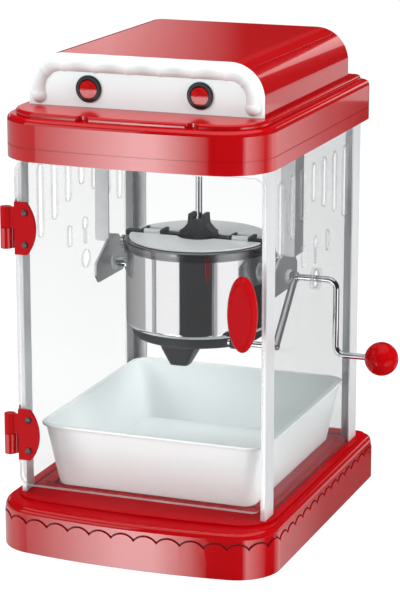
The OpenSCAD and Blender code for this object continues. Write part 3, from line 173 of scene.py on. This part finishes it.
# each card: start and end azimuth from the front, brightness at both ends, and
# the heights that it spans on the ring
cards = [
    # low: seen by the base
    (-160, -72, 0.4, 0.9, -2.6, -1.22), (-72, -42, 0.9, 0.6, -2.6, -1.22),
    (-42, -22, 0.6, 4.9, -2.6, -1.22), (-22, -16, 4.9, 4.9, -2.6, -1.22),
    (-16, -6.2, 4.9, 0.3, -2.6, -1.22), (34, 44, 0.0, 2.2, -2.6, -1.22),
    (44, 96, 2.4, 0.1, -2.6, -1.22), (125, 150, 0.2, 0.9, -2.6, -1.22),
    (150, 158.8, 0.9, 0.65, -2.6, -1.22), (158.8, 160.6, 0.6, 0.14, -2.6, -1.22),
    (160.6, 170, 0.14, 0.03, -2.6, -1.22),
    # middle: seen by the kettle, the posts and the crank
    (-160, -110, 0.15, 0.4, -1.22, -0.46), (-110, -72, 0.4, 0.55, -1.22, -0.46),
    (-72, -10, 1.25, 1.25, -1.22, -0.46), (43, 52, 0.35, 1.3, -1.22, -0.46),
    (52, 84, 1.3, 1.3, -1.22, -0.46), (84, 104, 1.0, 0.1, -1.22, -0.46),
    (148, 176, 0.5, 0.6, -1.1, -0.46), (176, 200, 0.4, 0.4, -1.22, -0.46),
    # high: seen by the band, then by the hood
    (-160, -78, 0.4, 0.5, -0.46, -0.28), (-78, -36, 0.5, 0.4, -0.46, -0.28),
    (-36, -20, 0.4, 5.6, -0.46, -0.28), (-20, -17, 5.6, 5.6, -0.46, -0.28),
    (-17, -9.8, 5.6, 0.4, -0.46, -0.28), (54, 62, 0.1, 2.2, -0.46, -0.28),
    (62, 110, 2.6, 0.1, -0.46, -0.28), (110, 138, 0.1, 1.3, -0.46, -0.28),
    (138, 158.8, 1.0, 0.8, -0.46, -0.28), (158.8, 160.6, 0.8, 0.26, -0.46, -0.28),
    (160.6, 162, 0.26, 0.04, -0.46, -0.28),
    (-60, -13, 0.7, 0.7, -0.28, -0.02), (150, 164, 0.2, 0.7, -0.28, 0.1),
    # overhead: seen by the hood's top and shoulders, and by the ledge
    (163, 174, 0.8, 1.4, 0.5, 1.7), (199, 204, 0.0, 0.9, 0.7, 1.2),
    (204, 235, 1.0, 0.7, 0.7, 1.2), (190, 235, 0.08, 0.1, 1.2, 2.2),
    (-60, -20, 0.9, 0.9, 0.6, 2.4),
]
ring_radius, widest_step = 4, 4
ring = bmesh.new()
glow_layer = ring.verts.layers.float.new("glow")
for start, end, first, last, low, high in cards:
    steps = max(2, round((end - start) / widest_step))
    before = None
    for step in range(steps + 1):
        share = step / steps
        turn = math.radians(start + (end - start) * share)
        x, y = ring_radius * math.sin(turn), -ring_radius * math.cos(turn)
        pair = [ring.verts.new((x, y, z)) for z in (low, high)]
        for corner in pair:
            corner[glow_layer] = first + (last - first) * share
        if before:
            ring.faces.new((before[0], pair[0], pair[1], before[1]))
        before = pair

# a round card overhead, which shows in the gloss of the level faces
disc_radius, disc_height, disc_glow, disc_corners = 3, 3.6, 0.8, 24
disc = [ring.verts.new((disc_radius * math.cos(a), disc_radius * math.sin(a), disc_height))
        for a in (i * math.tau / disc_corners for i in range(disc_corners))]
for corner in disc:
    corner[glow_layer] = disc_glow
ring.faces.new(disc)
ring_mesh = bpy.data.meshes.new("gloss_cards")
ring.to_mesh(ring_mesh)
ring.free()
ring_piece = linked("gloss_cards", ring_mesh)
ring_piece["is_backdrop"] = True
for sight in ("camera", "diffuse", "transmission", "shadow", "volume_scatter"):
    setattr(ring_piece, "visible_" + sight, False)
card = bpy.data.materials.new("white_card")
card.use_nodes = True
card_tree = card.node_tree
shine = card_tree.nodes.new("ShaderNodeEmission")
level = card_tree.nodes.new("ShaderNodeAttribute")
level.attribute_name = "glow"
card_tree.links.new(level.outputs["Fac"], shine.inputs["Strength"])
card_tree.links.new(shine.outputs[0], card_tree.nodes["Material Output"].inputs["Surface"])
card.cycles.emission_sampling = "NONE"
ring_mesh.materials.append(card)

# the table keeps a fifth of its own shading, so the object's shadow shows on it
table_half_width, paper_glow, glow_share = 6, 1.12, 0.8
floor_shape = bmesh.new()
bmesh.ops.create_grid(floor_shape, x_segments=1, y_segments=1, size=table_half_width)
floor_mesh = bpy.data.meshes.new("floor")
floor_shape.to_mesh(floor_mesh)
floor_shape.free()
floor = linked("floor", floor_mesh)
floor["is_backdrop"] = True
floor.visible_glossy = False
paper = Finish("white_paper", Base_Color=(0.9, 0.9, 0.9, 1), Roughness=0.9,
               Specular_IOR_Level=0.1)
watched = (paper.node("ShaderNodeLightPath", {}, out="Is Camera Ray")
           + paper.node("ShaderNodeLightPath", {}, out="Is Transmission Ray"))
glow = paper.node("ShaderNodeEmission", {}, Strength=paper_glow)
cover = paper.node("ShaderNodeMixShader", {}, watched * glow_share,
                   Wire(paper, paper.shader.outputs[0]), glow)
paper.join(paper.tree.nodes["Material Output"].inputs["Surface"], cover)
floor.data.materials.append(paper.material)

# the room is pale to the camera and to matt surfaces, and near black to gloss
world = bpy.data.worlds.new("pale_room")
scene.world = world
world.use_nodes = True
room = world.node_tree
lit = room.nodes["Background"]
lit.inputs["Color"].default_value = (0.94, 0.96, 0.98, 1)
lit.inputs["Strength"].default_value = 0.74
seen = room.nodes.new("ShaderNodeBackground")
seen.inputs["Color"].default_value = (1, 1, 1, 1)
dark = room.nodes.new("ShaderNodeBackground")
dark.inputs["Color"].default_value = (0.03, 0.03, 0.03, 1)
path = room.nodes.new("ShaderNodeLightPath")
pick = room.nodes.new("ShaderNodeMixShader")
gloss = room.nodes.new("ShaderNodeMixShader")
for source, target in (
        (path.outputs["Is Camera Ray"], pick.inputs[0]),
        (lit.outputs[0], pick.inputs[1]), (seen.outputs[0], pick.inputs[2]),
        (path.outputs["Is Glossy Ray"], gloss.inputs[0]),
        (pick.outputs[0], gloss.inputs[1]), (dark.outputs[0], gloss.inputs[2]),
        (gloss.outputs[0], room.nodes["World Output"].inputs["Surface"])):
    room.links.new(source, target)

# ---- Base ---------------------------------------------------------------------
# One bowed moulding of glossy red styrene carries everything. Its skirt has a
# scalloped relief; a black cover with vents closes it from below, on four
# screws, and four rubber pucks stand beside them.

weld, level_within, crease = 0.000004, math.radians(0.4), math.radians(32)


def refine(name, node, body, radius, steps=2):
    """A welded copy of a CAD node, with its edges broken and its curves smooth."""
    shape = bmesh.new()
    shape.from_mesh(nodes[node].data)
    bmesh.ops.remove_doubles(shape, verts=shape.verts, dist=weld)
    bmesh.ops.dissolve_limit(shape, angle_limit=level_within, verts=shape.verts,
                             edges=shape.edges, use_dissolve_boundaries=False)
    shape.normal_update()
    for line in shape.edges:
        if len(line.link_faces) == 2 and line.calc_face_angle(0) > crease:
            line.smooth = False
    mesh = bpy.data.meshes.new(name)
    shape.to_mesh(mesh)
    shape.free()
    mesh.shade_smooth()
    piece = linked(name, mesh)
    if radius:
        bevel = piece.modifiers.new("broken_edges", "BEVEL")
        bevel.width, bevel.segments = radius, steps
        bevel.limit_method, bevel.angle_limit = "ANGLE", crease
        flat = piece.modifiers.new("flat_faces_first", "WEIGHTED_NORMAL")
        flat.keep_sharp = True
    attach(piece, body)
    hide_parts(node)
    return piece


def wear(piece, finish, slot, *others):
    """Gives the piece its finish, and others to the faces that their tests choose."""
    piece.data.materials.clear()
    for material in (finish, *(other for other, chosen in others)):
        piece.data.materials.append(material.material)
    for face in piece.data.polygons:
        for place, (other, chosen) in enumerate(others, 1):
            if chosen(face):
                face.material_index = place
                break


def coat(finish, *names):
    """Gives carried-over CAD nodes their finish."""
    for name in names:
        for place in nodes[name].material_slots:
            place.material = finish.material


red = Finish("red_styrene", Specular_IOR_Level=0.1, Coat_Roughness=0.03, Coat_IOR=1.7)
red.colour(red.noise(14, 3.0), (0.30, 0.0004, 0.0018), (0.33, 0.0007, 0.0028))
red.feed("Roughness", 0.12 + red.noise(60, 4.0) * 0.03)
red.bump(red.noise(160), 0.01, 0.0003)
# level faces are wiped daily and lose the gloss that the upright ones keep
upward = red.node("ShaderNodeSeparateXYZ", {},
                  red.node("ShaderNodeTexCoord", {}, out="Normal"), out="Z")
red.feed("Coat Weight", 1.0 - upward ** 6)

# the deck's level faces get a lighter copy of the red with little gloss: painted light that
# lifts the deck in the shade of the band
deck_red_painted_light = Finish("deck_red_painted_light", Specular_IOR_Level=0.01)
deck_red_painted_light.colour(deck_red_painted_light.noise(14, 3.0), (0.33, 0.0008, 0.003), (0.36, 0.0012, 0.004))
deck_red_painted_light.feed("Roughness", 0.2 + deck_red_painted_light.noise(60, 4.0) * 0.05)
deck_red_painted_light.bump(deck_red_painted_light.noise(160), 0.01, 0.0003)

# the groove faces get a darker copy of the red: painted shade that darkens the scalloped relief
painted_groove_shade = Finish("red_painted_groove_shade", Roughness=0.5)
painted_groove_shade.colour(painted_groove_shade.noise(40), (0.11, 0.0006, 0.002), (0.16, 0.001, 0.004))

# outline of the skirt: straight sides, a bowed front and rounded front corners
half_width, rear_edge = 0.1265, 0.152
side_rear_end, side_front_end = 0.136, -0.137
bow_middle, bow_radius, bow_half_angle = Vector((0.0, 0.482)), 0.656, 0.1416
corner_middle, corner_radius = Vector((0.087, -0.1284)), 0.0395


def depth_in_skirt(spot):
    """How far a point of the skirt lies inside the outline of the base."""
    x, y = abs(spot.x), spot.y
    if y > side_rear_end:
        return min(half_width - x, rear_edge - y)
    if y > side_front_end:
        return half_width - x
    reach = Vector((x, y)) - bow_middle
    if abs(math.atan2(reach.x, -reach.y)) < bow_half_angle:
        return bow_radius - reach.length
    return corner_radius - (Vector((x, y)) - corner_middle).length


groove_low, groove_high = 0.0245, 0.0335
groove_shallow, groove_deep = 0.0010, 0.0022
deck_height = 0.0395
nearly_level, quite_level = 0.9, 0.98


def in_groove(face):
    return (groove_low < face.center.z < groove_high and face.normal.z < nearly_level
            and groove_shallow < depth_in_skirt(face.center) < groove_deep)


def on_deck(face):
    return face.center.z > deck_height and face.normal.z > quite_level


base = refine("base_moulding", "base_shell", "cabinet", 0.0005)
wear(base, red, "red_plastic", (painted_groove_shade, in_groove), (deck_red_painted_light, on_deck))

black = Finish("black_nylon", Roughness=0.45)
black.colour(black.noise(40), (0.010, 0.010, 0.011), (0.02, 0.02, 0.022))
black.bump(black.noise(900), 0.1, 0.0002)
coat(black, "base_plate")

rubber = Finish("foot_rubber", Roughness=0.85)
rubber.colour(rubber.noise(70), (0.012, 0.012, 0.012), (0.03, 0.03, 0.03))
rubber.bump(rubber.noise(1200), 0.2, 0.0002)
coat(rubber, "rubber_feet")

zinc = Finish("zinc_plate", Metallic=1.0)
zinc.colour(zinc.noise(120), (0.60, 0.61, 0.62), (0.72, 0.73, 0.74))
zinc.feed("Roughness", 0.25 + zinc.noise(300) * 0.25)
coat(zinc, "base_screws")

# ---- Corner posts ---------------------------------------------------------------
# Four lengths of angled aluminium extrusion, clear anodised, stand in grooves in
# the deck and hold the panes behind their wings.

alloy = Finish("anodised_angle", Metallic=0.5)
streak = alloy.noise(1, 4.0, alloy.place((900, 900, 6)))
alloy.colour(streak, (0.66, 0.67, 0.68), (0.72, 0.73, 0.74))
alloy.feed("Roughness", 0.28 + streak * 0.04)
for post in ("post_front_left", "post_front_right", "post_rear_left", "post_rear_right"):
    wear(refine(post + "_angle", post, "cabinet", 0.0003), alloy, "aluminium_trim")

# ---- Panes ------------------------------------------------------------------------
# Clear acrylic sheet, routed with long vents over the crank hole and held behind
# the posts. The cut edges show grey where the sheet is seen end on.


def acrylic(name, first, last, roughness, alpha, alpha_at_edge):
    """Clear sheet that shows more of itself where it is seen at a low angle."""
    sheet = Finish(name)
    facing = sheet.node("ShaderNodeLayerWeight", {}, Blend=0.5, out="Facing")
    sheet.colour(sheet.noise(9, 3.0), first, last)
    sheet.feed("Roughness", roughness + sheet.noise(30, 4.0) * 0.04)
    sheet.feed("Alpha", alpha + (facing ** 3) * alpha_at_edge)
    return sheet


clear = acrylic("clear_acrylic", (0.12, 0.125, 0.13), (0.16, 0.165, 0.17), 0.02, 0.05, 0.2)
# the right pane gets a darker copy of the sheet, more of it shown at a low angle: painted shade
# for the grey it shows when seen edge-on
side_clear_painted_shade = acrylic("side_acrylic_painted_shade", (0.08, 0.085, 0.09), (0.12, 0.125, 0.13), 0.03, 0.06, 0.5)
cut_edge = Finish("acrylic_edge", Roughness=0.12)
cut_edge.colour(cut_edge.noise(60, 3.0), (0.30, 0.31, 0.32), (0.55, 0.56, 0.57))
cut_edge.feed("Alpha", 0.35 + cut_edge.noise(25) * 0.3)
square_to_sheet = 0.9


def pane(name, node, body, thin_axis, finish=clear):
    """A refined sheet whose cut edges, all faces off its thin axis, read darker."""
    wear(refine(name, node, body, 0.0003), finish, "clear_acrylic",
         (cut_edge, lambda face: abs(face.normal[thin_axis]) < square_to_sheet))


pane("left_pane", "side_panel_left", "cabinet", 0)
pane("right_pane", "side_panel_right", "cabinet", 0, side_clear_painted_shade)
pane("rear_pane", "rear_panel", "cabinet", 1)
coat(clear, "crank_grommet")

# ---- Tray ---------------------------------------------------------------------------
# A loose white tray, moulded in polypropylene, that catches the corn. It stands
# on the deck between two rails.

# the whites are tinted a little cyan, painted to cancel the red light that the mouldings bounce
# onto them
white = Finish("white_styrene", Coat_Weight=0.1, Coat_Roughness=0.1)
white.colour(white.noise(20, 3.0), (0.69, 0.78, 0.775), (0.72, 0.81, 0.805))
white.feed("Roughness", 0.28 + white.noise(80) * 0.15)
white.bump(white.noise(300), 0.05, 0.0003)
# the tray's white carries the same painted cyan tint against the red bounce light
milk = Finish("tray_white")
milk.colour(milk.noise(20, 3.0), (0.83, 0.88, 0.875), (0.86, 0.91, 0.905))
milk.feed("Roughness", 0.35 + milk.noise(80) * 0.12)
milk.bump(milk.noise(300), 0.05, 0.0003)
wear(refine("catch_tray", "popcorn_tray", "tray", 0.0006), milk, "white_plastic")

# ---- Band and ceiling -----------------------------------------------------------------
# The band is a second red moulding, bowed like the base, with a bead line and a
# tier that the hood stands on. A white-painted steel ceiling plate closes the
# cabinet, with the motor above it and the hangers screwed up under it.

wear(refine("band_moulding", "top_band", "cabinet", 0.0005), red, "red_plastic")
coat(milk, "ceiling_plate")
coat(zinc, "hanger_screws", "hood_screws")

# ---- Hood -------------------------------------------------------------------------------
# A red half-round hood, screwed over the motor. Its white front is moulded as a
# tube of lights, and two black bezels with red rocker switches snap into it.

wear(refine("hood_cover", "hood", "cabinet", 0.0005), red, "red_plastic")
front = refine("hood_front", "hood_front_panel", "cabinet", 0.0004)
bulb_pitch = 0.029
# the tube gets a darker copy of the white, painted shade that keeps it from burning out under
# the top light, with a painted highlight on each bulb and painted shade between them
tube_painted_shading = Finish("tube_painted_light_and_shade", Specular_IOR_Level=0.3)
along = tube_painted_shading.node("ShaderNodeSeparateXYZ", {}, tube_painted_shading.place(), out="X")
painted_bulb_light = tube_painted_shading.node("ShaderNodeMath", {"operation": "COSINE"}, along * (math.tau / bulb_pitch))
tube_painted_shading.colour(0.5 - painted_bulb_light * 0.4 + tube_painted_shading.noise(20, 3.0) * 0.1,
               (0.48, 0.50, 0.495), (0.62, 0.65, 0.645))
tube_painted_shading.feed("Roughness", 0.26 + tube_painted_shading.noise(80) * 0.1)
# the tube stands proud of the flat panel, which faces straight forward
panel_front, straight_forward = -0.1183, -0.95
wear(front, white, "white_plastic",
     (tube_painted_shading, lambda face: face.center.y < panel_front or face.normal.y > straight_forward))
jet = Finish("gloss_black", Roughness=0.12, Specular_IOR_Level=0.3, Coat_Weight=0.3,
             Coat_Roughness=0.03)
jet.colour(jet.noise(50), (0.004, 0.004, 0.005), (0.009, 0.009, 0.010))
lens = Finish("red_lens", Roughness=0.15, Coat_Weight=0.6, Coat_Roughness=0.04)
lens.colour(lens.noise(260, 3.0), (0.22, 0.001, 0.002), (0.62, 0.02, 0.02))
lens.bump(lens.noise(420), 0.25, 0.0006)
for side in ("left", "right"):
    bezel = refine("bezel_" + side, "switch_bezel_" + side, "cabinet", 0.0005, steps=3)
    wear(bezel, jet, "black_plastic")
    rocker = refine("rocker_" + side, "switch_rocker_" + side, "rocker_" + side, 0.0005, steps=3)
    wear(rocker, lens, "red_switch")
coat(black, "cord_gland")

# ---- Motor and lamp ---------------------------------------------------------------------
# A shaded-pole motor of plated steel stands on its gearbox under the hood. A small
# glass lamp in a white holder hangs through the ceiling.

coat(zinc, "motor", "gearbox")
coat(milk, "drive_gear", "lamp_holder")
glass = Finish("lamp_glass", Base_Color=(1.0, 0.93, 0.8, 1), Roughness=0.2, Alpha=0.6)
coat(glass, "lamp_bulb")

# ---- Hangers and crank --------------------------------------------------------------------
# Two pressed steel hangers carry the kettle on nylon bushes. The crank is one
# bent, chromed rod with a welded arm and a red phenolic ball.

coat(zinc, "hanger_left", "hanger_right")
coat(milk, "hanger_bushes")
chrome = Finish("polished_steel", Metallic=1.0)
chrome.colour(chrome.noise(60), (0.72, 0.73, 0.75), (0.82, 0.83, 0.85))
chrome.feed("Roughness", 0.05 + chrome.noise(200) * 0.08)
wear(refine("crank_bar", "crank_rod", "crank", 0.0), chrome, "polished_steel")
phenolic = Finish("ball_red", Specular_IOR_Level=0.1, Coat_Weight=0.15, Coat_Roughness=0.02)
phenolic.colour(phenolic.noise(30, 3.0), (0.27, 0.0004, 0.001), (0.34, 0.0006, 0.002))
phenolic.feed("Roughness", 0.14 + phenolic.noise(90, 3.0) * 0.04)
wear(refine("crank_knob", "crank_ball", "crank", 0.0), phenolic, "red_plastic")

# ---- Hinges and door --------------------------------------------------------------------------
# Two red moulded hinges turn on steel pins: a plate on the post, and an oval leaf
# screwed to the door. The door is one clear acrylic sheet with an oval red handle.

satin = Finish("satin_red", Specular_IOR_Level=0.08)
satin.colour(satin.noise(30, 3.0), (0.29, 0.0008, 0.0025), (0.33, 0.0012, 0.004))
satin.feed("Roughness", 0.26 + satin.noise(90, 3.0) * 0.12)
bolt = Finish("dulled_steel", Metallic=1.0, Roughness=0.4)
bolt.colour(bolt.noise(400), (0.16, 0.15, 0.14), (0.34, 0.32, 0.30))
for where in ("upper", "lower"):
    leaf = refine("door_leaf_" + where, "hinge_leaf_" + where, "door", 0.0008, steps=3)
    wear(leaf, satin, "red_plastic")
    plate = refine("post_leaf_" + where, "hinge_fixed_" + where, "cabinet", 0.0005)
    wear(plate, red, "red_plastic")
coat(chrome, "hinge_pins", "handle_screw")
coat(bolt, "hinge_screws")
pane("door_pane", "door_panel", "door", 1)
wear(refine("oval_handle", "door_handle", "door", 0.0004), satin, "red_plastic")

# ---- Kettle -----------------------------------------------------------------------------------
# A polished steel pot with a rolled rim on a dark heater base, hung on two
# trunnions. A crossbar over it holds the stirrer's bearing, and two clear half
# lids hinge on the bar.

pot_steel = Finish("satin_steel", Metallic=1.0)
lines = pot_steel.noise(1, 5.0, pot_steel.place((40, 40, 2600)))
pot_steel.colour(lines, (0.74, 0.74, 0.75), (0.86, 0.86, 0.87))
pot_steel.feed("Roughness", 0.03 + lines * 0.06)
wear(refine("pot_shell", "kettle_pot", "kettle", 0.0002), pot_steel, "polished_steel")
# the rolled rim gets a dark copy of the steel: painted shade for the dark band under the lids
painted_rim_shade = Finish("rim_steel_painted_shade", Metallic=1.0)
painted_rim_shade.colour(painted_rim_shade.noise(60), (0.20, 0.20, 0.21), (0.30, 0.30, 0.31))
painted_rim_shade.feed("Roughness", 0.1 + painted_rim_shade.noise(200) * 0.1)
wear(refine("pot_rim", "kettle_rim", "kettle", 0.0002), painted_rim_shade, "polished_steel")
coat(black, "heater_base", "terminal_box")
for name, node in (("bearing_hub", "hub_housing"), ("kettle_bar", "crossbar")):
    wear(refine(name, node, "kettle", 0.0003), black, "black_plastic")
coat(zinc, "heater_plate")
coat(chrome, "trunnion_left", "trunnion_right", "wing_nuts", "stir_shaft", "stir_paddle")
coat(milk, "stir_gear")
lid = Finish("clear_lid", Roughness=0.08)
lid_graze = lid.node("ShaderNodeLayerWeight", {}, Blend=0.5, out="Facing")
lid.colour(lid.noise(40, 3.0), (0.86, 0.87, 0.87), (0.93, 0.94, 0.94))
lid.feed("Alpha", 0.6 + (lid_graze ** 2) * 0.35)
for half in ("front", "rear"):
    half_lid = refine("lid_half_" + half, "lid_" + half, f"lid_{half}_half", 0.0003)
    wear(half_lid, lid, "clear_acrylic")

low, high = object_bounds()
